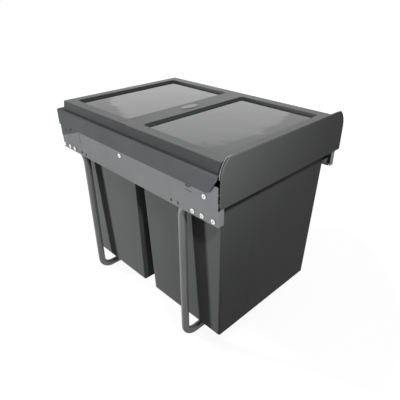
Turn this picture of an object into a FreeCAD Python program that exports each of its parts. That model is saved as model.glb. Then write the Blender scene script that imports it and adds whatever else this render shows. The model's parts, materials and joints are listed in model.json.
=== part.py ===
"""Built-in pull-out waste bin: two hanging bins in a sliding frame under a lid that stays in the cabinet.

Millimetres, +Z up. The front plate faces -Y. The origin is under the middle of the whole unit, on the floor.
"""
import FreeCAD, Part
import math
import os

V = FreeCAD.Vector

# Overall frame: widths are measured over the unit, depths run back from the front plate's face
unit_width = 360.0
rail_setback = 9.5
rail_length = 505.5
rail_top = 420.0

# Sheet metal
sheet_thickness = 1.2
bend_radius = 1.8
cage_thickness = 0.6
cage_bend_radius = 0.9
running_gap = 0.3
hole_clearance = 0.05

# Cabinet rails, with two fixing holes each: a round tab in front and a slanted gusset behind
rail_height = 35.7
rail_bend_radius = 3.0
rail_flange_margin = 2.7
rail_nose_run = 20.0
rail_nose_rise = 30.0
rail_nose_radius = 12.0
tab_front_setback = 77.0
tab_rear_gap = 54.0
tab_radius = 5.5
tab_drop = 0.3
tab_hole_radius = 2.5
gusset_rear_gap = 5.5
gusset_length = 80.0
gusset_drop = 26.0
hook_slot_gaps = (31.0, 45.0)
hook_slot_drop = 8.0
hook_slot_length = 8.0
hook_slot_width = 1.6

# Telescopic ball slides
slide_nose_gap = 4.0
slide_rear_gap = 18.0
slide_height = 30.0
slide_thickness = 12.2
slide_top_gap = 0.8
outer_slide_flange = 8.3
middle_slide_flange = 7.4
ball_diameter = 2.8
balls_per_row = 5
ball_pitch = 26.0
cage_end = 13.0
outer_cage_flange = 6.1
inner_cage_flange = 5.4
slide_rivet_radius = 2.0
slide_rivet_head_radius = 3.0
slide_rivet_head = 1.2
slide_rivet_end = 60.0
slide_rivet_count = 4
buffer_width = 9.0
buffer_height = 10.0
buffer_length = 8.0

# Side panels of the sliding frame
panel_setback = 7.5
panel_rear_gap = 1.0
panel_web = 58.5
panel_top_gap = 8.0
panel_jog_rise = 2.7
panel_nose_length = 34.5
panel_nose_rise = 14.0
panel_flange = 12.5
panel_flange_lift = 1.0
relief_bottom = 31.0
relief_width = 3.5
relief_depth = 2.0
relief_bridge = 1.5
relief_bridge_lifts = (11.0, 28.0)
spare_hole_radius = 2.8
spare_hole_step = 18.0
slit_length = 18.0
slit_width = 1.2
slit_drop = 12.5
rear_slot_gap = 81.5
rear_slot_count = 3
rear_slot_drop = 9.0
rear_slot_pitch = 8.0
rear_slot_length = 5.0
rear_slot_width = 2.0

# Screws with a flat round head and a cross recess
head_radius = 4.5
head_height = 1.4
head_edge = 0.5
head_gap = 0.4
shank_radius = 2.0
cross_length = 5.0
cross_width = 1.2
cross_depth = 0.8

# Ledges the bins hang on
ledge_drop = 20.0
ledge_leg = 21.0
ledge_setback = 17.0
ledge_rear_gap = 10.0
ledge_shelf = 5.2
ledge_bin_gap = 2.5
ledge_screw_lift = 8.5
ledge_screw_setbacks = (40.0, 276.0)
nut_width = 7.0
nut_height = 3.0

# Cradle tubes under the bins
tube_radius = 8.0
tube_wall = 1.2
tube_seat_gap = 0.1
tube_low_bend = 26.0
tube_high_bend = 30.0
tube_arm_lift = 7.8
tube_arm_straights = (61.0, 51.5)
tube_front_gap = 6.5
tube_rear_gap = 1.0
cradle_screw_end_gap = 5.0
cradle_screw_bend_gaps = (7.5, 1.5)
cradle_screw_shares = (0.0, 24 / 45, 1.0)
cradle_screw_length = 5.0
plug_cap = 1.5
plug_screw_gap = 0.5

# Bins
bin_front_setback = 17.5
bin_spacing = 19.5
bin_rear_gap = 32.0
bin_width_draft = 9.0
bin_depth_draft = 9.0
bin_floor_gap = 32.0
bin_wall = 2.2
bin_floor = 3.0
bin_bottom_radius = 4.0
bin_top_radius = 5.0
bin_foot_radius = 2.0
bin_inner_radius = 2.5
bin_inner_foot_radius = 1.0
bin_rim = 2.5
bin_rim_lip = 1.5
bin_rim_gap = 1.2
bin_pad_width = 132.0
bin_pad_rise = 0.3
bin_pad_end = 12.0

# Lid with two trays and a crossbar
lid_setback = 15.0
lid_rear_gap = 12.5
lid_side_setback = 11.5
lid_height = 18.3
lid_draft = 2.0
lid_wall = 2.5
lid_corner_radius = 2.5
lid_edge_radius = 1.5
lid_inner_corner_radius = 2.0
lid_inner_radius = 1.0
tray_side_margin = 24.0
tray_depth = 5.0
tray_draft = 0.8
tray_corner_radius = 6.0
tray_floor_radius = 1.0
tray_lip_radius = 1.5
tray_front_margin = 23.5
front_tray_length = 200.0
crossbar_width = 49.5
tray_rear_margin = 21.7
lug_radius = 2.5
lug_length = 6.0
lug_gap = 0.3
lug_bite = 0.3
lug_end = 60.0
badge_length = 44.0
badge_width = 20.0
badge_height = 1.0
badge_edge = 0.5

# Front plate, the carrier sheet behind it and the cross rail behind both
plate_drop = 54.0
plate_rise = 30.0
plate_thickness = 3.0
plate_shoulder_run = 17.0
plate_shoulder_drop = 35.0
plate_top_radius = 5.0
plate_low_radius = 3.0
plate_edge_radius = 1.2
boss_radius = 4.0
boss_inset = 8.0
boss_lifts = (9.0, 27.0)
plate_screw_radius = 1.5
plate_screw_length = 8.0
plate_head_radius = 3.0
plate_head_height = 1.6
carrier_inset = 6.0
carrier_shoulder_inset = 2.0
carrier_corner_radius = 2.0
cross_rail_lift = 1.0
cross_rail_lip = 4.6
cross_rail_end_gap = 3.7

# Places that follow from the sizes above
rear_y = (rail_setback + rail_length) / 2
front_y = -rear_y
rail_front_y = front_y + rail_setback
rail_outer = unit_width / 2
rail_inner = rail_outer - sheet_thickness
rail_bottom = rail_top - rail_height
tab_height = rail_bottom - tab_drop
tab_ys = (front_y + tab_front_setback, rear_y - tab_rear_gap)

panel_front_y = front_y + panel_setback
shoulder_y = panel_front_y + panel_nose_length
slide_front_y = shoulder_y + slide_nose_gap
slide_rear_y = rear_y - slide_rear_gap
slide_top = rail_top - sheet_thickness - slide_top_gap
slide_middle = slide_top - slide_height / 2
track = ball_diameter + 2 * running_gap
cage_room = cage_thickness + 2 * running_gap
outer_half = slide_height / 2
outer_row = outer_half - sheet_thickness - track / 2
middle_half = outer_half - sheet_thickness - track
inner_row = middle_half - sheet_thickness - track / 2
inner_half = middle_half - sheet_thickness - track
middle_web = rail_inner - sheet_thickness - cage_room
inner_reach = middle_web - sheet_thickness - cage_room
frame_web = rail_inner - slide_thickness
rivet_step = (slide_rear_y - slide_front_y - 2 * slide_rivet_end) / (slide_rivet_count - 1)
rivet_ys = [slide_front_y + slide_rivet_end + rivet_step * i for i in range(slide_rivet_count)]

panel_rear_y = rear_y - panel_rear_gap
panel_outer = rail_inner - head_gap - head_height
panel_inner = panel_outer - sheet_thickness
panel_top = rail_top - panel_top_gap
jog_top = rail_bottom + panel_jog_rise
panel_bottom = jog_top - panel_web
panel_nose_top = jog_top + panel_nose_rise
upper_inner = frame_web - sheet_thickness
slit_height = tab_height - slit_drop
rear_slot_y = panel_rear_y - rear_slot_gap

ledge_face = upper_inner - sheet_thickness
ledge_top = rail_top - ledge_drop
ledge_bottom = jog_top - ledge_leg
ledge_screw_height = ledge_bottom + ledge_screw_lift
shelf_edge = ledge_face - ledge_shelf

tube_x = panel_inner - tube_seat_gap - tube_radius
tube_arm_height = panel_bottom + tube_arm_lift
front_arm_end_y = panel_front_y + tube_front_gap
rear_arm_end_y = panel_rear_y - tube_rear_gap
front_arm_length, rear_arm_length = [tube_high_bend + straight for straight in tube_arm_straights]
front_leg_y = front_arm_end_y + front_arm_length
rear_leg_y = rear_arm_end_y - rear_arm_length
cradle_screw_spans = [straight - cradle_screw_end_gap - gap
                      for straight, gap in zip(tube_arm_straights, cradle_screw_bend_gaps)]
plug_length = cradle_screw_end_gap - shank_radius - plug_screw_gap

bin_top_width = 2 * (shelf_edge - ledge_bin_gap)
bin_top_depth = (rear_y - bin_rear_gap - front_y - bin_front_setback - bin_spacing) / 2
bin_bottom = 2 * tube_radius + bin_floor_gap
bin_height = ledge_top - bin_bottom
rim_half_width = ledge_face - bin_rim_gap
front_bin_y = front_y + bin_front_setback + bin_top_depth / 2
rear_bin_y = rear_y - bin_rear_gap - bin_top_depth / 2

lid_front_y = front_y + lid_setback
lid_length = rear_y - lid_rear_gap - lid_front_y
lid_middle_y = lid_front_y + lid_length / 2
lid_top = rail_top + lid_height
lid_width = 2 * (rail_outer - lid_side_setback - lid_draft)
tray_width = lid_width - 2 * tray_side_margin
rear_tray_length = lid_length - tray_front_margin - front_tray_length - crossbar_width - tray_rear_margin
front_tray_y = lid_front_y + tray_front_margin + front_tray_length / 2
rear_tray_y = lid_front_y + lid_length - tray_rear_margin - rear_tray_length / 2
crossbar_y = front_tray_y + front_tray_length / 2 + crossbar_width / 2
lug_x = lid_width / 2 + lid_draft - lid_wall - lug_radius + lug_bite
flange_edge = lug_x - lug_radius - lug_gap - rail_flange_margin

plate_bottom = rail_top - plate_drop
plate_top = rail_top + plate_rise
boss_heights = [plate_bottom + lift for lift in boss_lifts]
boss_x = panel_outer - boss_inset
shoulder_radius = (plate_shoulder_run ** 2 + plate_shoulder_drop ** 2) / (2 * plate_shoulder_run)
shoulder_height = plate_top - plate_shoulder_drop
plate_back_y = front_y + plate_thickness
carrier_y = panel_front_y - sheet_thickness
cross_rail_y = panel_front_y + sheet_thickness
cross_rail_bottom = plate_bottom + cross_rail_lift


def block(low, high):
    """Box between two corners."""
    size = V(*high) - V(*low)
    return Part.makeBox(size.x, size.y, size.z, V(*low))


def rod(start, direction, radius, length):
    """Round bar from a point along a direction."""
    return Part.makeCylinder(radius, length, V(*start), V(*direction))


def mirrored(shape):
    """The same piece on the other side of the unit."""
    return shape.mirror(V(0, 0, 0), V(1, 0, 0))


def bent_sheet(path, thickness, radius, start_y, end_y):
    """Sheet bent along its mid line, given as (x, z) points, and drawn out along Y."""
    points = [V(x, start_y, z) for x, z in path]
    steps = [(b - a).normalize() for a, b in zip(points, points[1:])]
    lefts = [V(-s.z, 0, s.x) for s in steps]
    edges = []
    ends = []
    for side in (thickness / 2, -thickness / 2):
        last = points[0] + lefts[0] * side
        first = last
        for i in range(1, len(points) - 1):
            turn = 1 if steps[i - 1].x * steps[i].z > steps[i - 1].z * steps[i].x else -1
            run = radius * math.tan(steps[i - 1].getAngle(steps[i]) / 2)
            centre = points[i] - steps[i - 1] * run + lefts[i - 1] * (turn * radius)
            reach = radius - turn * side
            arc_start = centre - lefts[i - 1] * (turn * reach)
            arc_middle = centre + (points[i] - centre).normalize() * reach
            arc_end = centre - lefts[i] * (turn * reach)
            edges.append(Part.LineSegment(last, arc_start).toShape())
            edges.append(Part.Arc(arc_start, arc_middle, arc_end).toShape())
            last = arc_end
        end = points[-1] + lefts[-1] * side
        edges.append(Part.LineSegment(last, end).toShape())
        ends.append((first, end))
    edges.append(Part.LineSegment(ends[0][0], ends[1][0]).toShape())
    edges.append(Part.LineSegment(ends[0][1], ends[1][1]).toShape())
    outline = Part.Wire(Part.__sortEdges__(edges))
    return Part.Face(outline).extrude(V(0, end_y - start_y, 0))


def rounded_rectangle(half_x, half_y, radius, middle_y, z):
    """Closed wire of four lines and four corner arcs, level at z."""
    edges = []
    inset = radius * (1 - math.sqrt(0.5))
    corners = ((1, 1), (-1, 1), (-1, -1), (1, -1))
    for i, (sx, sy) in enumerate(corners):
        x, y = sx * half_x, middle_y + sy * half_y
        on_x_side = V(x, y - sy * radius, z)
        on_y_side = V(x - sx * radius, y, z)
        between = V(x - sx * inset, y - sy * inset, z)
        start, end = (on_x_side, on_y_side) if i % 2 == 0 else (on_y_side, on_x_side)
        edges.append(Part.Arc(start, between, end).toShape())
        nx, ny = corners[(i + 1) % 4]
        next_x, next_y = nx * half_x, middle_y + ny * half_y
        far = V(next_x + sx * radius, next_y, z) if i % 2 == 0 else V(next_x, next_y + sy * radius, z)
        edges.append(Part.LineSegment(end, far).toShape())
    return Part.Wire(edges)


def drafted_block(low, high, middle_y):
    """Block between two rounded rectangles, each given as (half_x, half_y, radius, z)."""
    wires = [rounded_rectangle(hx, hy, r, middle_y, z) for hx, hy, r, z in (low, high)]
    return Part.makeLoft(wires, True, True)


def edges_at(shape, z):
    """Edges that lie level at one height."""
    box = [(e, e.BoundBox) for e in shape.Edges]
    return [e for e, b in box if abs(b.ZMin - z) < hole_clearance and abs(b.ZMax - z) < hole_clearance]


def save(name, *solids):
    """Writes one named piece, or one group of like pieces."""
    shape = solids[0] if len(solids) == 1 else Part.makeCompound(solids)
    shape.exportStep(os.path.join("parts", name + ".step"))


def save_pair(name, shape):
    """Writes a right-hand piece and its left-hand twin."""
    save("right_" + name, shape)
    save("left_" + name, mirrored(shape))


def save_both(name, shapes):
    """Writes one group holding the right-hand pieces and their left-hand twins."""
    save(name, *shapes, *[mirrored(s) for s in shapes])


def flat_head_screw(face_x, y, z, length):
    """Screw along X with its head standing on an outer face."""
    head = rod((face_x, y, z), (1, 0, 0), head_radius, head_height)
    rim = [e for e in head.Edges if abs(e.BoundBox.XMin - face_x - head_height) < hole_clearance]
    head = head.makeFillet(head_edge, rim)
    top = face_x + head_height
    for across, along in ((cross_length, cross_width), (cross_width, cross_length)):
        slot = block((top - cross_depth, y - across / 2, z - along / 2), (top, y + across / 2, z + along / 2))
        head = head.cut(slot)
    return head.fuse(rod((face_x - length, y, z), (1, 0, 0), shank_radius, length))


def screw_hole(y, z, radius):
    """Cutter through the sheets of one side."""
    return rod((ledge_face, y, z), (1, 0, 0), radius, rail_outer - ledge_face)


os.makedirs("parts", exist_ok=True)

# Cabinet rails: an angle with a rounded nose, a front tab, a rear gusset and holes for the lid's lugs
half_sheet = sheet_thickness / 2
rail_path = ((flange_edge, rail_top - half_sheet),
             (rail_outer - half_sheet, rail_top - half_sheet),
             (rail_outer - half_sheet, rail_bottom))
rail = bent_sheet(rail_path, sheet_thickness, rail_bend_radius, rail_front_y, rear_y)
nose_low = V(rail_inner, rail_front_y + rail_nose_run, rail_bottom)
nose_high = V(rail_inner, rail_front_y, rail_bottom + rail_nose_rise)
nose_corner = V(rail_inner, rail_front_y, rail_bottom)
nose_cut = Part.Face(Part.makePolygon([nose_low, nose_high, nose_corner, nose_low]))
rail = rail.cut(nose_cut.extrude(V(sheet_thickness, 0, 0)))
nose_edges = [e for e in rail.Edges
              if e.BoundBox.XLength > half_sheet and e.BoundBox.YLength < hole_clearance
              and abs(e.BoundBox.ZMin - rail_bottom) < hole_clearance
              and abs(e.BoundBox.YMin - nose_low.y) < hole_clearance]
rail = rail.makeFillet(rail_nose_radius, nose_edges)
tab = rod((rail_inner, tab_ys[0], tab_height), (1, 0, 0), tab_radius, sheet_thickness)
neck_low = (rail_inner, tab_ys[0] - tab_radius, tab_height)
neck = block(neck_low, (rail_outer, tab_ys[0] + tab_radius, rail_bottom))
gusset_y = rear_y - gusset_rear_gap
gusset_points = [V(rail_inner, gusset_y - gusset_length, rail_bottom),
                 V(rail_inner, gusset_y, rail_bottom - gusset_drop),
                 V(rail_inner, gusset_y, rail_bottom)]
gusset = Part.Face(Part.makePolygon(gusset_points + gusset_points[:1]))
rail = rail.fuse([tab, neck, gusset.extrude(V(sheet_thickness, 0, 0))])
for gap in hook_slot_gaps:
    slot_z = rail_bottom - hook_slot_drop
    slot_low = (rail_inner, rear_y - gap - hook_slot_width / 2, slot_z - hook_slot_length / 2)
    slot_high = (rail_outer, rear_y - gap + hook_slot_width / 2, slot_z + hook_slot_length / 2)
    rail = rail.cut(block(slot_low, slot_high))
for tab_y in tab_ys:
    rail = rail.cut(rod((rail_inner, tab_y, tab_height), (1, 0, 0), tab_hole_radius, sheet_thickness))
lug_ys = (lid_front_y + lug_end, lid_front_y + lid_length - lug_end)
for lug_y in lug_ys:
    low = (lug_x, lug_y, rail_top - sheet_thickness)
    rail = rail.cut(rod(low, (0, 0, 1), lug_radius + lug_gap, sheet_thickness))
for rivet_y in rivet_ys:
    hole_start = (rail_inner, rivet_y, slide_middle)
    rail = rail.cut(rod(hole_start, (1, 0, 0), slide_rivet_radius + hole_clearance, sheet_thickness))
save_pair("cabinet_rail", rail.removeSplitter())


def channel(web_x, half_height, flange):
    """Mid line of a slide channel: its web lies at web_x and its flanges reach a signed length along X."""
    top, bottom = slide_middle + half_height, slide_middle - half_height
    return ((web_x + flange, top), (web_x, top), (web_x, bottom), (web_x + flange, bottom))


# Outer slides, flush-riveted to the rails
outer_path = channel(rail_inner - half_sheet, outer_half - half_sheet, half_sheet - outer_slide_flange)
outer_slide = bent_sheet(outer_path, sheet_thickness, bend_radius, slide_front_y, slide_rear_y)
outer_rivets = []
outer_web = rail_inner - sheet_thickness
for rivet_y in rivet_ys:
    start = (outer_web, rivet_y, slide_middle)
    outer_slide = outer_slide.cut(rod(start, (1, 0, 0), slide_rivet_radius + hole_clearance, sheet_thickness))
    outer_rivets.append(rod(start, (1, 0, 0), slide_rivet_radius, 2 * sheet_thickness))
save_pair("outer_slide", outer_slide)
save_both("outer_slide_rivets", outer_rivets)

# Middle slides, running between the outer and the inner ones
middle_path = channel(middle_web - half_sheet, middle_half - half_sheet, half_sheet - middle_slide_flange)
save_pair("middle_slide", bent_sheet(middle_path, sheet_thickness, bend_radius, slide_front_y, slide_rear_y))

# Inner slides, riveted to the frame's side panels
inner_path = channel(frame_web + half_sheet, inner_half - half_sheet, inner_reach - frame_web - half_sheet)
inner_slide = bent_sheet(inner_path, sheet_thickness, bend_radius, slide_front_y, slide_rear_y)
inner_rivets = []
for rivet_y in rivet_ys:
    start = (upper_inner, rivet_y, slide_middle)
    inner_slide = inner_slide.cut(rod(start, (1, 0, 0), slide_rivet_radius + hole_clearance, slide_thickness))
    shank = rod(start, (1, 0, 0), slide_rivet_radius, 2 * sheet_thickness)
    head_start = (frame_web + sheet_thickness, rivet_y, slide_middle)
    head = rod(head_start, (1, 0, 0), slide_rivet_head_radius, slide_rivet_head)
    inner_rivets.append(shank.fuse(head).removeSplitter())
save_pair("inner_slide", inner_slide)
save_both("inner_slide_rivets", inner_rivets)


def ball_cage(web_x, row, flange):
    """Cage strip with a row of balls above and below, and those balls."""
    half_length = cage_end + (balls_per_row - 1) * ball_pitch / 2
    cage_front = (slide_front_y + slide_rear_y) / 2 - half_length
    cage_rear = cage_front + 2 * half_length
    cage = bent_sheet(channel(web_x, row, -flange), cage_thickness, cage_bend_radius, cage_front, cage_rear)
    ball_x = web_x - flange / 2
    balls = []
    for i in range(balls_per_row):
        y = cage_front + cage_end + i * ball_pitch
        for z in (slide_middle + row, slide_middle - row):
            window = rod((ball_x, y, z - cage_thickness), (0, 0, 1), ball_diameter / 2 + running_gap,
                         2 * cage_thickness)
            cage = cage.cut(window)
            balls.append(Part.makeSphere(ball_diameter / 2, V(ball_x, y, z)))
    return cage, balls


# Ball cages between the slide members
outer_cage, outer_balls = ball_cage(middle_web + cage_room / 2, outer_row, outer_cage_flange)
save_pair("outer_ball_cage", outer_cage)
save_both("outer_slide_balls", outer_balls)
inner_cage, inner_balls = ball_cage(inner_reach + cage_room / 2, inner_row, inner_cage_flange)
save_pair("inner_ball_cage", inner_cage)
save_both("inner_slide_balls", inner_balls)

# Rubber buffers behind the slides
buffer_low = (rail_inner - buffer_width, slide_rear_y, slide_middle - buffer_height / 2)
buffer_high = (rail_inner, slide_rear_y + buffer_length, slide_middle + buffer_height / 2)
save_both("rear_buffers", [block(buffer_low, buffer_high)])

# Side panels: an upper web inside the rail, a jog, and the lower web that shows under the rail
panel_path = ((panel_outer - half_sheet, panel_bottom),
              (panel_outer - half_sheet, jog_top - half_sheet),
              (frame_web - half_sheet, jog_top - half_sheet),
              (frame_web - half_sheet, panel_top))
panel = bent_sheet(panel_path, sheet_thickness, bend_radius, shoulder_y, panel_rear_y)
nose_web = block((panel_inner, panel_front_y, panel_bottom), (panel_outer, shoulder_y, panel_nose_top))
nose_flange = block((panel_outer - panel_flange, panel_front_y, panel_bottom + panel_flange_lift),
                    (panel_outer, panel_front_y + sheet_thickness, panel_nose_top))
panel = panel.fuse([nose_web, nose_flange]).removeSplitter()
relief_low = panel_bottom + relief_bottom
bridge_zs = [relief_low + lift for lift in relief_bridge_lifts]
relief_starts = [relief_low] + [z + relief_bridge for z in bridge_zs]
for low_z, high_z in zip(relief_starts, bridge_zs + [panel_nose_top]):
    panel = panel.cut(block((panel_outer - relief_width, panel_front_y, low_z),
                            (panel_outer, panel_front_y + relief_depth, high_z)))
cradles = (("front", front_leg_y, -1, front_arm_length, cradle_screw_spans[0]),
           ("rear", rear_leg_y, 1, rear_arm_length, cradle_screw_spans[1]))


def cradle_screw_places(leg_y, way, arm_length, screw_span):
    """Places along Y of the screws that hold one end of a cradle."""
    first = arm_length - cradle_screw_end_gap
    return [leg_y + way * (first - share * screw_span) for share in cradle_screw_shares]


cradle_screw_ys = [y for cradle in cradles for y in cradle_screw_places(*cradle[1:])]
ledge_screw_ys = [front_y + setback for setback in ledge_screw_setbacks]
for y in cradle_screw_ys:
    panel = panel.cut(screw_hole(y, tube_arm_height, shank_radius + hole_clearance))
for y in ledge_screw_ys:
    panel = panel.cut(screw_hole(y, ledge_screw_height, shank_radius + hole_clearance))
for name, leg_y, way, arm_length, screw_span in cradles:
    for step in (0, spare_hole_step):
        panel = panel.cut(screw_hole(leg_y - way * step, tube_arm_height, spare_hole_radius))
slit = block((panel_inner, tab_ys[0] - slit_length / 2, slit_height - slit_width / 2),
             (panel_outer, tab_ys[0] + slit_length / 2, slit_height + slit_width / 2))
panel = panel.cut(slit)
for i in range(rear_slot_count):
    slot_z = jog_top - rear_slot_drop - i * rear_slot_pitch
    slot_low = (panel_inner, rear_slot_y - rear_slot_width / 2, slot_z - rear_slot_length / 2)
    slot_high = (panel_outer, rear_slot_y + rear_slot_width / 2, slot_z + rear_slot_length / 2)
    panel = panel.cut(block(slot_low, slot_high))
for y in rivet_ys:
    panel = panel.cut(rod((upper_inner, y, slide_middle), (1, 0, 0), slide_rivet_radius + hole_clearance,
                          sheet_thickness))
for z in boss_heights:
    panel = panel.cut(rod((boss_x, panel_front_y, z), (0, 1, 0), plate_screw_radius + hole_clearance,
                          sheet_thickness))
save_pair("side_panel", panel)

# Ledges nested inside the panels, with their screws and nuts
ledge_path = ((panel_inner - half_sheet, ledge_bottom),
              (panel_inner - half_sheet, jog_top - sheet_thickness - half_sheet),
              (upper_inner - half_sheet, jog_top - sheet_thickness - half_sheet),
              (upper_inner - half_sheet, ledge_top - half_sheet),
              (shelf_edge, ledge_top - half_sheet))
ledge_front_y = front_y + ledge_setback
ledge = bent_sheet(ledge_path, sheet_thickness, bend_radius, ledge_front_y, rear_y - ledge_rear_gap)
ledge_screws = []
ledge_nuts = []
nut_face = panel_inner - sheet_thickness
for y in ledge_screw_ys:
    ledge = ledge.cut(screw_hole(y, ledge_screw_height, shank_radius + hole_clearance))
    grip = panel_outer - nut_face + nut_height
    ledge_screws.append(flat_head_screw(panel_outer, y, ledge_screw_height, grip))
    corner = nut_width / math.sqrt(3)
    ring = [V(nut_face, y + corner * math.cos(math.radians(60 * i)),
              ledge_screw_height + corner * math.sin(math.radians(60 * i))) for i in range(7)]
    nut = Part.Face(Part.makePolygon(ring)).extrude(V(-nut_height, 0, 0))
    bore_start = (nut_face - nut_height, y, ledge_screw_height)
    bore = rod(bore_start, (1, 0, 0), shank_radius + hole_clearance, nut_height)
    ledge_nuts.append(nut.cut(bore))
save_pair("bin_ledge", ledge)
save_both("ledge_screws", ledge_screws)
save_both("ledge_nuts", ledge_nuts)


def tube_path(leg_y, end_y):
    """Mid line of a cradle: arm, leg, floor bar, leg and arm, with a bend at each corner."""
    low, high = tube_radius, tube_arm_height
    half = [V(tube_x, leg_y, low), V(tube_x, leg_y, high), V(tube_x, end_y, high)]
    points = [V(-p.x, p.y, p.z) for p in reversed(half)] + half
    radii = (tube_high_bend, tube_low_bend, tube_low_bend, tube_high_bend)
    edges = []
    last = points[0]
    for before, corner, after, radius in zip(points, points[1:], points[2:], radii):
        back = (before - corner).normalize() * radius
        ahead = (after - corner).normalize() * radius
        middle = corner + (back + ahead) * (1 - math.sqrt(0.5))
        edges.append(Part.LineSegment(last, corner + back).toShape())
        edges.append(Part.Arc(corner + back, middle, corner + ahead).toShape())
        last = corner + ahead
    edges.append(Part.LineSegment(last, points[-1]).toShape())
    return Part.Wire(edges), points[0], points[1] - points[0]


def pipe(path, start, direction, radius):
    """Solid bar of one radius along a path."""
    section = Part.Wire(Part.makeCircle(radius, start, direction))
    return path.makePipeShell([section], True, True)


# Cradle tubes with end plugs and their screws
plugs = []
for name, leg_y, way, arm_length, screw_span in cradles:
    end_y = leg_y + way * arm_length
    path, start, direction = tube_path(leg_y, end_y)
    bore = pipe(path, start, direction, tube_radius - tube_wall)
    tube = pipe(path, start, direction, tube_radius).cut(bore)
    for screw_y in cradle_screw_places(leg_y, way, arm_length, screw_span):
        hole_start = (tube_x, screw_y, tube_arm_height)
        hole = rod(hole_start, (1, 0, 0), shank_radius + hole_clearance, panel_outer - tube_x)
        tube = tube.cut([hole, mirrored(hole)])
    save(name + "_cradle_tube", tube)
    end = (tube_x, end_y, tube_arm_height)
    stem = rod(end, (0, -way, 0), tube_radius - tube_wall - hole_clearance, plug_length)
    plugs.append(stem.fuse(rod(end, (0, way, 0), tube_radius, plug_cap)).removeSplitter())
save_both("tube_end_plugs", plugs)
cradle_screw_grip = sheet_thickness + tube_seat_gap + tube_wall + cradle_screw_length
save_both("cradle_screws", [flat_head_screw(panel_outer, y, tube_arm_height, cradle_screw_grip)
                            for y in cradle_screw_ys])

# Bins: tapered tubs hanging by their rims
for name, middle_y in (("front", front_bin_y), ("rear", rear_bin_y)):
    high = (bin_top_width / 2, bin_top_depth / 2, bin_top_radius, ledge_top)
    low = (high[0] - bin_width_draft, high[1] - bin_depth_draft, bin_bottom_radius, bin_bottom)
    tub = drafted_block(low, high, middle_y)
    tub = tub.makeFillet(bin_foot_radius, edges_at(tub, bin_bottom))
    taper_x = bin_width_draft / bin_height
    taper_y = bin_depth_draft / bin_height
    pad_ends = []
    for pad_z in (bin_bottom + bin_pad_end, ledge_top - bin_pad_end):
        pad_half_depth = low[1] + taper_y * (pad_z - bin_bottom) + bin_pad_rise
        pad_ends.append((bin_pad_width / 2, pad_half_depth, bin_pad_rise, pad_z))
    tub = tub.fuse(drafted_block(*pad_ends, middle_y))
    rim_half_depth = bin_top_depth / 2 + bin_rim_lip
    rim_wire = rounded_rectangle(rim_half_width, rim_half_depth, bin_top_radius, middle_y, ledge_top)
    tub = tub.fuse(Part.Face(rim_wire).extrude(V(0, 0, bin_rim)))
    hollow_low = (low[0] + taper_x * bin_floor - bin_wall, low[1] + taper_y * bin_floor - bin_wall,
                  bin_inner_radius, bin_bottom + bin_floor)
    hollow_high = (high[0] + taper_x * bin_rim - bin_wall, high[1] + taper_y * bin_rim - bin_wall,
                   bin_inner_radius, ledge_top + bin_rim)
    hollow = drafted_block(hollow_low, hollow_high, middle_y)
    hollow = hollow.makeFillet(bin_inner_foot_radius, edges_at(hollow, bin_bottom + bin_floor))
    save(name + "_bin", tub.cut(hollow).removeSplitter())

# Lid: a drafted cap with two trays, a crossbar and four locating lugs
lid_bottom_size = (lid_width / 2 + lid_draft, lid_length / 2 + lid_draft, lid_corner_radius, rail_top)
lid_top_size = (lid_width / 2, lid_length / 2, lid_corner_radius, lid_top)
lid = drafted_block(lid_bottom_size, lid_top_size, lid_middle_y)
lid = lid.makeFillet(lid_edge_radius, edges_at(lid, lid_top))
under_top = lid_top - lid_wall
under_draft = lid_draft * (lid_height - lid_wall) / lid_height
hollow_bottom = [size - lid_wall for size in lid_bottom_size[:2]]
hollow_top = [size - under_draft for size in hollow_bottom]
hollow = drafted_block((*hollow_bottom, lid_inner_corner_radius, rail_top),
                       (*hollow_top, lid_inner_corner_radius, under_top), lid_middle_y)
hollow = hollow.makeFillet(lid_inner_radius, edges_at(hollow, under_top))
lid = lid.cut(hollow)
for middle_y, length in ((front_tray_y, front_tray_length), (rear_tray_y, rear_tray_length)):
    floor_z = lid_top - tray_depth
    mouth = (tray_width / 2, length / 2, tray_corner_radius, lid_top)
    floor = (tray_width / 2 - tray_draft, length / 2 - tray_draft, tray_corner_radius - tray_draft, floor_z)
    pan_mouth = (mouth[0] + lid_wall, mouth[1] + lid_wall, mouth[2] + lid_wall, lid_top)
    pan_floor = (floor[0] + lid_wall, floor[1] + lid_wall, floor[2] + lid_wall, floor_z - lid_wall)
    pan = drafted_block(pan_floor, pan_mouth, middle_y)
    recess = drafted_block(floor, mouth, middle_y)
    recess = recess.makeFillet(tray_floor_radius, edges_at(recess, floor_z))
    lid = lid.fuse(pan).cut(recess)
    mouth_edges = [e for e in edges_at(lid, lid_top)
                   if abs(e.BoundBox.Center.y - middle_y) < length / 2 + tray_lip_radius
                   and abs(e.BoundBox.Center.x) < tray_width / 2 + tray_lip_radius]
    lid = lid.makeFillet(tray_lip_radius, mouth_edges)
for lug_y in lug_ys:
    lug_start = (lug_x, lug_y, rail_top - lug_length)
    lug = rod(lug_start, (0, 0, 1), lug_radius, lug_length + lid_height - lid_wall / 2)
    lid = lid.fuse([lug, mirrored(lug)])
save("lid", lid.removeSplitter())

# Bare oval badge on the lid's crossbar
oval = Part.Ellipse(V(0, crossbar_y, lid_top), badge_length / 2, badge_width / 2)
badge = Part.Face(Part.Wire(oval.toShape())).extrude(V(0, 0, badge_height))
badge = badge.makeFillet(badge_edge, edges_at(badge, lid_top + badge_height))
save("lid_badge", badge)


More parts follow.
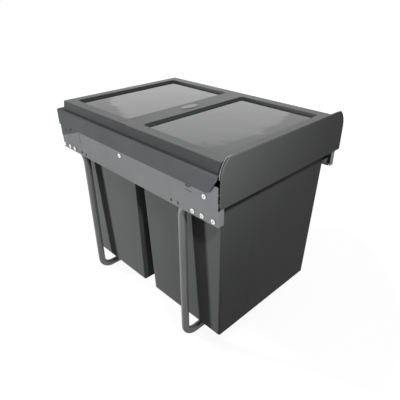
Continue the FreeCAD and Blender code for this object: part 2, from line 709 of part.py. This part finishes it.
def front_sheet(inset, start_y, thickness, low_radius, top_radius):
    """Flat sheet with drawn-in shoulders, whose outline lies inside the front plate's by an inset."""
    half, low, high = rail_outer - inset, plate_bottom + inset, plate_top - inset
    radius = shoulder_radius - inset
    turn = math.asin((high - shoulder_height) / radius)
    arc_x = rail_outer - shoulder_radius
    bulge = (arc_x + radius * math.cos(turn / 2), shoulder_height + radius * math.sin(turn / 2))
    right = ((half, low), (half, shoulder_height), bulge, (arc_x + radius * math.cos(turn), high))
    side = [V(x, start_y, z) for x, z in right]
    other = [V(-p.x, p.y, p.z) for p in side]
    edges = [Part.LineSegment(other[0], side[0]),
             Part.LineSegment(side[0], side[1]),
             Part.Arc(side[1], side[2], side[3]),
             Part.LineSegment(side[3], other[3]),
             Part.Arc(other[3], other[2], other[1]),
             Part.LineSegment(other[1], other[0])]
    sheet = Part.Face(Part.Wire([e.toShape() for e in edges])).extrude(V(0, thickness, 0))
    for corner_z, corner_radius in ((low, low_radius), (high, top_radius)):
        corners = [e for e in sheet.Edges if e.BoundBox.YLength > thickness / 2
                   and abs(e.BoundBox.Center.z - corner_z) < hole_clearance]
        sheet = sheet.makeFillet(corner_radius, corners)
    return sheet


# Front plate with four screw bosses, and the carrier sheet that they stand on
# The carrier lies hidden behind the plate, but its shoulders reach nearly to the plate's edge above the rails
plate = front_sheet(0.0, front_y, plate_thickness, plate_low_radius, plate_top_radius)
front_face = min(plate.Faces, key=lambda f: f.CenterOfMass.y)
plate = plate.makeFillet(plate_edge_radius, front_face.OuterWire.Edges)
carrier = front_sheet(carrier_inset, carrier_y, sheet_thickness, carrier_corner_radius, carrier_corner_radius)
shoulders = front_sheet(carrier_shoulder_inset, carrier_y, sheet_thickness, carrier_corner_radius,
                        carrier_corner_radius)
below_shoulders = block((-rail_outer, carrier_y, plate_bottom), (rail_outer, panel_front_y, shoulder_height))
carrier = carrier.fuse(shoulders.cut(below_shoulders)).removeSplitter()
plate_screws = []
screw_face_y = cross_rail_y + sheet_thickness
for z in boss_heights:
    boss = rod((boss_x, plate_back_y, z), (0, 1, 0), boss_radius, carrier_y - plate_back_y)
    pilot = rod((boss_x, carrier_y, z), (0, -1, 0), plate_screw_radius + hole_clearance,
                plate_screw_length - screw_face_y + carrier_y)
    plate = plate.fuse([boss, mirrored(boss)]).cut([pilot, mirrored(pilot)])
    hole = rod((boss_x, carrier_y, z), (0, 1, 0), plate_screw_radius + hole_clearance, sheet_thickness)
    carrier = carrier.cut([hole, mirrored(hole)])
save("front_plate", plate)
save("front_carrier", carrier)

# Cross rail that ties the panels' front flanges together, and the screws that hold plate and rail
half_rail = panel_inner - cross_rail_end_gap
cross_rail = block((-half_rail, cross_rail_y, cross_rail_bottom), (half_rail, screw_face_y, panel_nose_top))
cross_rail = cross_rail.fuse(block((-ledge_face + bin_rim_gap, cross_rail_y, cross_rail_bottom),
                                   (ledge_face - bin_rim_gap, cross_rail_y + cross_rail_lip,
                                    cross_rail_bottom + sheet_thickness)))
for z in boss_heights:
    hole = rod((boss_x, cross_rail_y, z), (0, 1, 0), plate_screw_radius + hole_clearance, sheet_thickness)
    cross_rail = cross_rail.cut([hole, mirrored(hole)])
    shank = rod((boss_x, screw_face_y, z), (0, -1, 0), plate_screw_radius, plate_screw_length)
    head = rod((boss_x, screw_face_y, z), (0, 1, 0), plate_head_radius, plate_head_height)
    plate_screws.append(shank.fuse(head).removeSplitter())
save("front_cross_rail", cross_rail.removeSplitter())
save_both("front_plate_screws", plate_screws)
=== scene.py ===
"""Built-in pull-out waste bin: the finishes of its pieces, the studio and the camera."""
import bmesh
import bpy
import json
import math
from mathutils import Matrix, Vector


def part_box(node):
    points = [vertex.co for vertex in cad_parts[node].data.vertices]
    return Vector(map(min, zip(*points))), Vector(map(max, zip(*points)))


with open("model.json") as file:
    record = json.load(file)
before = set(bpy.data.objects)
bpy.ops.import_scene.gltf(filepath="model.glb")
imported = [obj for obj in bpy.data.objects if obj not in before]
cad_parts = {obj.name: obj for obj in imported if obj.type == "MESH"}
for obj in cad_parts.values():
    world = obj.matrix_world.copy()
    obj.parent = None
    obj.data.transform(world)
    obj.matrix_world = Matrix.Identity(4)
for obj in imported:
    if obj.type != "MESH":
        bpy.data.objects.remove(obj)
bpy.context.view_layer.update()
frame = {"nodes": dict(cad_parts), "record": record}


# Cabinet rails. Two folded steel angles, powder coated in anthracite and screwed to the cabinet's walls.
# The lid lies on their top flanges. The rivets that hold the slides are painted over with the rails.
class Signal:
    """A value in a node tree: operators on it add Math nodes."""

    def __init__(self, tree, socket):
        self.tree = tree
        self.socket = socket

    def math(self, operation, first, second=0.0):
        """One Math node on values or signals."""
        return self.tree.node("ShaderNodeMath", {"operation": operation}, {0: first, 1: second})

    def __add__(self, other):
        return self.math("ADD", self, other)

    def __radd__(self, other):
        return self.math("ADD", other, self)

    def __sub__(self, other):
        return self.math("SUBTRACT", self, other)

    def __rsub__(self, other):
        return self.math("SUBTRACT", other, self)

    def __mul__(self, other):
        return self.math("MULTIPLY", self, other)

    def __rmul__(self, other):
        return self.math("MULTIPLY", other, self)

    def __lt__(self, other):
        return self.math("LESS_THAN", self, other)

    def __gt__(self, other):
        return self.math("GREATER_THAN", self, other)

    def __abs__(self):
        return self.math("ABSOLUTE", self)


class NodeTree:
    """The node tree of a material or of the world, to which nodes are added one by one."""

    def __init__(self, owner):
        owner.use_nodes = True
        self.tree = owner.node_tree

    def node(self, kind, settings, sockets, output=0):
        """Adds a node, sets it, fills its sockets with values or signals, and gives one output."""
        made = self.tree.nodes.new(kind)
        for key, value in settings.items():
            setattr(made, key, value)
        for key, value in sockets.items():
            self.fill(made.inputs[key], value)
        return Signal(self, made.outputs[output])

    def fill(self, socket, value):
        """Puts a value or a signal on a socket."""
        if isinstance(value, Signal):
            self.tree.links.new(value.socket, socket)
        else:
            socket.default_value = value


class Finish(NodeTree):
    """One finish: a material with a shader, and the nodes that feed it."""

    def __init__(self, name):
        self.material = bpy.data.materials.new(name)
        super().__init__(self.material)
        self.shader = self.tree.nodes["Principled BSDF"]
        self.place = self.node("ShaderNodeTexCoord", {}, {}, "Object")

    def set(self, **sockets):
        """Sets the shader's sockets, named with underscores for spaces."""
        for key, value in sockets.items():
            self.fill(self.shader.inputs[key.replace("_", " ")], value)

    def along(self, axis):
        """The place along X, Y or Z, in metres."""
        return self.node("ShaderNodeSeparateXYZ", {}, {"Vector": self.place}, axis)

    def grain(self, size, stretch=(1.0, 1.0, 1.0), detail=2.0):
        """Noise from 0 to 1 whose features are about size metres across, drawn out by stretch."""
        squeeze = [1.0 / length for length in stretch]
        place = self.node("ShaderNodeMapping", {}, {"Vector": self.place, "Scale": squeeze})
        sockets = {"Vector": place, "Scale": 1.0 / size, "Detail": detail}
        return self.node("ShaderNodeTexNoise", {}, sockets, "Fac")

    def uneven(self, size, spread, detail=2.0):
        """A value that wanders about zero over patches of a size, by a spread from lowest to highest."""
        return (self.grain(size, detail=detail) - 0.5) * spread

    def between(self, factor, first, second):
        """Colour from first to second as the factor goes from 0 to 1."""
        start_colour = 6
        end_colour = 7
        mixed_colour = 2
        sockets = {"Factor": factor, start_colour: (*first, 1.0), end_colour: (*second, 1.0)}
        return self.node("ShaderNodeMix", {"data_type": "RGBA"}, sockets, mixed_colour)

    def bump(self, height, depth):
        """Raises the surface by height times depth metres."""
        sockets = {"Height": height, "Distance": depth, "Strength": 1.0}
        self.set(Normal=self.node("ShaderNodeBump", {}, sockets, "Normal"))

    def give(self, *names):
        """Puts the finish on the named pieces."""
        for name in names:
            mesh = frame["nodes"][name].data
            mesh.materials.clear()
            mesh.materials.append(self.material)


def shade(colour, factor):
    """The colour, lighter or darker by a factor."""
    return [part * factor for part in colour]


def powder_coat(name, colour, peel_depth, flake, roughness, metallic):
    """Baked powder paint: an orange-peel skin, faint clouds of tone and metallic flakes."""
    cloud_size = 0.09
    cloud_share = 0.6
    flake_size = 0.0006
    flake_light = 0.3
    tone_spread = 0.12
    gloss_patch = 0.03
    gloss_spread = 0.16
    peel_size = 0.0022
    coat = Finish(name)
    tone = coat.grain(cloud_size, detail=3.0) * cloud_share + coat.grain(flake_size, detail=1.0) * flake
    darkest = shade(colour, 1.0 - tone_spread)
    lightest = shade(colour, 1.0 + tone_spread + flake_light * flake)
    coat.set(Base_Color=coat.between(tone, darkest, lightest))
    coat.set(Roughness=roughness + coat.uneven(gloss_patch, gloss_spread), Metallic=metallic)
    coat.set(Specular_IOR_Level=0.05, Specular_Tint=(0.3, 0.3, 0.3, 1.0))
    coat.bump(coat.grain(peel_size), peel_depth)
    return coat


anthracite = (0.130, 0.134, 0.138)
rail_coat = powder_coat("anthracite_powder_coat", anthracite, peel_depth=0.00006, flake=0.2,
                        roughness=0.45, metallic=0.75)
rail_coat.give("left_cabinet_rail", "right_cabinet_rail", "outer_slide_rivets")


# Telescopic slides. Three rolled steel channels on each side, zinc plated, which nest and run on balls.
# The outer one is riveted to the rail and the inner one to the frame's side panel.
# Rolling leaves fine lines along their length.
def rolled_zinc(name, colour, roughness):
    """Zinc on rolled steel: lines along Y and faint bluish clouds."""
    line_width = 0.0008
    line_stretch = (1.0, 60.0, 1.0)
    line_depth = 0.00003
    line_dulling = 0.18
    cloud_size = 0.02
    cloud_dark = 0.85
    cloud_tint = (1.0, 1.02, 1.06)
    zinc = Finish(name)
    lines = zinc.grain(line_width, stretch=line_stretch)
    cloud = zinc.grain(cloud_size, detail=4.0)
    bluish = [part * tint for part, tint in zip(colour, cloud_tint)]
    zinc.set(Base_Color=zinc.between(cloud, shade(colour, cloud_dark), bluish))
    zinc.set(Roughness=roughness + lines * line_dulling, Metallic=1.0)
    zinc.bump(lines, line_depth)
    return zinc


slide_zinc = rolled_zinc("slide_zinc", colour=(0.52, 0.53, 0.54), roughness=0.28)
slide_zinc.give("left_outer_slide", "right_outer_slide", "left_middle_slide", "right_middle_slide",
                "left_inner_slide", "right_inner_slide", "inner_slide_rivets")

# Ball cages. Thin pressed strips of zinc-plated steel between the channels, which keep the balls apart.
# They are a little yellower and duller than the slides.
cage_zinc = rolled_zinc("cage_zinc", colour=(0.42, 0.42, 0.40), roughness=0.34)
cage_zinc.give("left_outer_ball_cage", "right_outer_ball_cage",
               "left_inner_ball_cage", "right_inner_ball_cage")


# Slide balls. Ground and polished bearing steel, held by the cages between the channels.
# A film of pale grease dulls them in patches.
def mottled(name, patch, clean, dulled, roughness, dulling, detail=2.0):
    """A skin that goes from a clean colour to a dulled and rougher one over patches of a size."""
    skin = Finish(name)
    film = skin.grain(patch, detail=detail)
    skin.set(Base_Color=skin.between(film, clean, dulled), Roughness=roughness + film * dulling)
    return skin


ball_steel = mottled("bearing_steel", patch=0.0012, clean=(0.62, 0.60, 0.55), dulled=(0.78, 0.78, 0.78),
                     roughness=0.1, dulling=0.25)
ball_steel.set(Metallic=1.0)
ball_steel.give("outer_slide_balls", "inner_slide_balls")

# Rear buffers. Moulded rubber blocks stuck inside the rails, which stop the slides softly.
# The rubber is dull and a little dusty, with a fine grain from the mould.
buffer_rubber = mottled("buffer_rubber", patch=0.004, clean=(0.018, 0.018, 0.019), dulled=(0.05, 0.05, 0.05),
                        roughness=0.75, dulling=0.15, detail=4.0)
buffer_rubber.bump(buffer_rubber.grain(size=0.0008), depth=0.00008)
buffer_rubber.give("rear_buffers")

# Sliding frame. Folded side panels, riveted to the slides, in a lighter grey metallic paint.
# The bin ledges inside them and the cross rail between their front flanges are folded from the same sheet.
metallic_grey = (0.226, 0.232, 0.236)
frame_coat = powder_coat("metallic_grey_coat", metallic_grey, peel_depth=0.00005, flake=0.5,
                         roughness=0.42, metallic=0.92)
frame_coat.give("left_side_panel", "right_side_panel", "left_bin_ledge", "right_bin_ledge",
                "front_cross_rail")

# Cradle tubes. Two round steel tubes, bent to pass under the bins, with both ends screwed to the panels.
# They are painted in a lighter grey, with less metal in it than the panels' paint.
tube_grey = (0.272, 0.275, 0.275)
tube_coat = powder_coat("tube_coat", tube_grey, peel_depth=0.00005, flake=0.5, roughness=0.48, metallic=0.3)
tube_coat.give("front_cradle_tube", "rear_cradle_tube")

# Tube end plugs. Caps of black moulded plastic, pushed into the tubes' open ends.
# They have a fine grain from the mould.
plug_plastic = mottled("plug_plastic", patch=0.01, clean=(0.02, 0.02, 0.021), dulled=(0.035, 0.035, 0.036),
                       roughness=0.5, dulling=0.1)
plug_plastic.bump(plug_plastic.grain(size=0.0007), depth=0.00005)
plug_plastic.give("tube_end_plugs")


# Screws and nuts. Bright zinc-plated steel: flat round heads hold the tubes and the ledges to the panels.
# Fine turned marks scatter the light on them. On the screws, the driver's cross and the head's rim below its
# top face are painted grey as painted shade.
def bright_zinc(name):
    """Bright zinc with fine turned marks."""
    mark_size = 0.0007
    mark_detail = 3.0
    zinc = mottled(name, patch=mark_size, clean=(0.80, 0.80, 0.79), dulled=(0.93, 0.93, 0.93),
                   roughness=0.18, dulling=0.2, detail=mark_detail)
    zinc.set(Metallic=1.0)
    zinc.bump(zinc.grain(mark_size, detail=mark_detail), depth=0.00002)
    return zinc


nut_zinc = bright_zinc("nut_zinc")
nut_zinc.give("ledge_nuts", "front_plate_screws")

# Painted shade: the screw heads are grey below their top face, in the driver's cross and round the rim.
painted_shade_start = 0.0003
head_white = (0.88, 0.88, 0.88)
painted_shade_grey = (0.66, 0.66, 0.66)
screw_zinc = bright_zinc("screw_zinc")
head_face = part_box("cradle_screws")[1].x
painted_shade_below_face = abs(screw_zinc.along("X")) < head_face - painted_shade_start
screw_zinc.set(Base_Color=screw_zinc.between(painted_shade_below_face, head_white, painted_shade_grey))
screw_zinc.give("cradle_screws", "ledge_screws")


# Bins. Two injection-moulded tubs of dyed polypropylene, hanging by their rims on the ledges.
# The mould leaves a fine grain and a satin skin that is a little uneven.
def moulded_plastic(name, colour, grain_depth, roughness, gloss):
    """Dyed moulded plastic: soft clouds along the flow, a fine grain and an uneven satin skin."""
    flow_size = 0.12
    flow_stretch = (1.0, 1.0, 2.5)
    flow_spread = 0.1
    satin_patch = 0.05
    satin_spread = 0.14
    grain_size = 0.0011
    plastic = Finish(name)
    flow = plastic.grain(flow_size, stretch=flow_stretch, detail=3.0)
    darkest = shade(colour, 1.0 - flow_spread)
    lightest = shade(colour, 1.0 + flow_spread)
    plastic.set(Base_Color=plastic.between(flow, darkest, lightest))
    plastic.set(Roughness=roughness + plastic.uneven(satin_patch, satin_spread, detail=4.0))
    plastic.set(Specular_IOR_Level=gloss)
    plastic.bump(plastic.grain(grain_size), grain_depth)
    return plastic


dark_grey = (0.136, 0.138, 0.138)
bin_plastic = moulded_plastic("bin_plastic", dark_grey, grain_depth=0.00004, roughness=0.36, gloss=0.015)
bin_plastic.give("front_bin", "rear_bin")

# Lid. One moulded cap that lies on the rails, with two trays and a crossbar between them.
# The trays' floors come polished and slightly wavy from the mould, and the top round them has a satin grain.
# The trays' walls and the skirt are dull.
lid_colour = (0.0640, 0.0664, 0.0684)
flow_size = 0.12
flow_spread = 0.08
satin_patch = 0.05
satin_spread = 0.04
top_roughness = 0.42
floor_polish = 0.37
dull_roughness = 0.6
dull_gloss = 0.2
grain_size = 0.0011
grain_depth = 0.00004
wave_size = 0.06
wave_height = 6.0
edge_round = 0.0008
opening_lift = 0.0012
opening_side_gap = 0.0045
floor_band_below = 0.001
floor_band_above = 0.0006
openings = {opening["name"]: opening["box_m"] for opening in frame["record"]["physics"]["openings"]}
tray_low, tray_high = openings["front_lid_tray"]
tray_floor_height = tray_low[2] - opening_lift
tray_half_width = tray_high[0] + opening_side_gap
lid_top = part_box("lid")[1].z
lid_plastic = Finish("lid_plastic")
height = lid_plastic.along("Z")
over_floor = height > tray_floor_height - floor_band_below
under_walls = height < tray_floor_height + floor_band_above
inside_trays = abs(lid_plastic.along("X")) < tray_half_width
tray_floor = over_floor * under_walls * inside_trays
shiny = tray_floor + (height > lid_top - edge_round)
flow = lid_plastic.grain(flow_size, detail=3.0)
darkest = shade(lid_colour, 1.0 - flow_spread)
lightest = shade(lid_colour, 1.0 + flow_spread)
lid_tone = lid_plastic.between(flow, darkest, lightest)
satin = lid_plastic.uneven(satin_patch, satin_spread, detail=4.0)
lid_plastic.set(Base_Color=lid_tone, Roughness=top_roughness - tray_floor * floor_polish + satin)
fine_grain = lid_plastic.grain(grain_size) * (1.0 - tray_floor)
wave = lid_plastic.grain(wave_size) * wave_height * tray_floor
lid_plastic.bump(fine_grain + wave, grain_depth)
dull_skin = {"Base Color": lid_tone, "Roughness": dull_roughness, "Specular IOR Level": dull_gloss}
dull = lid_plastic.node("ShaderNodeBsdfPrincipled", {}, dull_skin)
polished = Signal(lid_plastic, lid_plastic.shader.outputs["BSDF"])
lid_skin = lid_plastic.node("ShaderNodeMixShader", {}, {0: shiny, 1: dull, 2: polished})
lid_plastic.fill(lid_plastic.tree.nodes["Material Output"].inputs["Surface"], lid_skin)
lid_plastic.give("lid")

# Badge. A bare oval of moulded plastic, set on the lid's crossbar.
# It is lighter and smoother than the lid.
badge_grey = (0.22, 0.22, 0.22)
badge_plastic = moulded_plastic("badge_plastic", badge_grey, grain_depth=0.00002, roughness=0.3, gloss=0.5)
badge_plastic.give("lid_badge")

# Front carrier. A cut sheet of zinc-plated steel between the front plate and the cross rail.
# The plate's screws hold it. It is dull zinc, and its ends at the shoulders are painted lighter as a painted
# highlight, a light line beside the plate's own.
highlight_reach = 0.028
dull_zinc = (0.17, 0.17, 0.17)
painted_highlight_zinc = (0.45, 0.46, 0.47)
carrier_zinc = rolled_zinc("carrier_zinc", dull_zinc, roughness=0.34)
carrier_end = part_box("front_carrier")[1].x
# Painted highlight: near its ends at the shoulders the sheet is painted a lighter zinc.
painted_highlight_at_shoulder = abs(carrier_zinc.along("X")) > carrier_end - highlight_reach
carrier_zinc.set(Base_Color=carrier_zinc.between(painted_highlight_at_shoulder, dull_zinc, painted_highlight_zinc))
carrier_zinc.give("front_carrier")

# Front plate. A moulded plastic sheet with drawn-in shoulders, which the user pulls at its top edge.
# Screws from the cross rail hold it by four bosses on its back. It has the bins' colour and grain.
plate_plastic = moulded_plastic("plate_plastic", dark_grey, grain_depth=0.00004, roughness=0.42, gloss=0.015)
plate_plastic.give("front_plate")


# Studio. A wide floor that looks white and keeps the unit's soft shadow, in a white surround.
# Both give back little light, so that the unit's own sides stay as dark as they are.
def seen_directly(tree):
    """1 for what the camera, mirrors and clear pieces see, and 0 for the light that falls on the object."""
    camera_ray = tree.node("ShaderNodeLightPath", {}, {}, "Is Camera Ray")
    mirror_ray = tree.node("ShaderNodeLightPath", {}, {}, "Is Glossy Ray")
    clear_ray = tree.node("ShaderNodeLightPath", {}, {}, "Is Transmission Ray")
    return camera_ray + mirror_ray + clear_ray


scene = bpy.context.scene
scene.view_settings.view_transform = "Standard"
black = (0.0, 0.0, 0.0)
white = (1.0, 1.0, 1.0)
floor_size = 30.0
floor_grey = (0.12, 0.12, 0.12, 1.0)
shadow_light = 0.93
fade_start = 0.5
floor_mesh = bpy.data.meshes.new("studio_floor")
floor_bm = bmesh.new()
bmesh.ops.create_grid(floor_bm, x_segments=1, y_segments=1, size=floor_size)
floor_bm.to_mesh(floor_mesh)
floor_bm.free()
floor = bpy.data.objects.new("studio_floor", floor_mesh)
scene.collection.objects.link(floor)
floor_paint = Finish("white_floor")
reach = floor_paint.node("ShaderNodeVectorMath", {"operation": "LENGTH"}, {0: floor_paint.place}, "Value")
fade = floor_paint.node("ShaderNodeClamp", {}, {"Value": reach - fade_start})
glow = seen_directly(floor_paint) * (shadow_light + fade)
floor_paint.set(Base_Color=floor_grey, Roughness=0.9, Specular_IOR_Level=0.0)
floor_paint.set(Emission_Color=floor_paint.between(glow, black, white), Emission_Strength=1.0)
floor_mesh.materials.append(floor_paint.material)

surround_light = 0.10
scene.world = bpy.data.worlds.new("white_surround")
surround = NodeTree(scene.world)
background = surround.tree.nodes["Background"].inputs
surround.fill(background["Color"], (*white, 1.0))
surround.fill(background["Strength"], surround_light + seen_directly(surround) * (1.0 - surround_light))

# Lamps. One at the rear left slants along the left faces, one over the unit lights the lid, a small near one
# lights the plate from its left end, and one lights the right side.
# The wide softbox far behind the right rear corner is what the polished trays mirror.
unit_middle = (0.0, 0.0, 0.3)
lid_middle = (0.0, 0.0, 0.44)


def soft_lamp(name, place, size, power, mirrored, target=unit_middle):
    """Oval lamp that looks at a point, out of the picture, and shows in shiny pieces where mirrored."""
    light = bpy.data.lights.new(name, "AREA")
    light.shape = "ELLIPSE"
    light.size, light.size_y = size
    light.energy = power
    lamp = bpy.data.objects.new(name, light)
    lamp.location = place
    lamp.rotation_euler = (Vector(target) - Vector(place)).to_track_quat("-Z", "Y").to_euler()
    lamp.visible_camera = False
    lamp.visible_glossy = mirrored
    scene.collection.objects.link(lamp)


soft_lamp("left_lamp", (-1.18, 1.80, 0.55), size=(0.2, 0.2), power=60.0, mirrored=False)
soft_lamp("top_lamp", (0.0, 0.0, 2.6), size=(1.5, 1.5), power=10.0, mirrored=True)
soft_lamp("front_lamp", (-0.30, -0.52, 0.70), size=(0.06, 0.06), power=1.6, mirrored=False)
soft_lamp("right_lamp", (2.2, 0.20, 0.70), size=(0.8, 0.8), power=18.0, mirrored=False)
soft_lamp("rear_softbox", (5.63, 5.58, 1.55), size=(4.85, 3.9), power=19.8, mirrored=True, target=lid_middle)

# Camera. It stands at the front left, above the unit, and looks down on it.
# Its place, angles and lens were fitted to the straight edges of the unit.
camera_place = (-0.5709, -0.6152, 0.6804)
turn = math.radians(44.05)
tilt = math.radians(29.16)
roll = math.radians(-0.29)
camera_data = bpy.data.cameras.new("photo_camera")
camera_data.sensor_width = 36.0
camera_data.lens = 35.97
camera_data.clip_start = 0.01
camera = bpy.data.objects.new("photo_camera", camera_data)
level_aim = Matrix.Rotation(-turn, 4, "Z") @ Matrix.Rotation(math.pi / 2 - tilt, 4, "X")
camera.matrix_world = Matrix.Translation(camera_place) @ level_aim @ Matrix.Rotation(roll, 4, "Z")
scene.collection.objects.link(camera)
scene.camera = camera
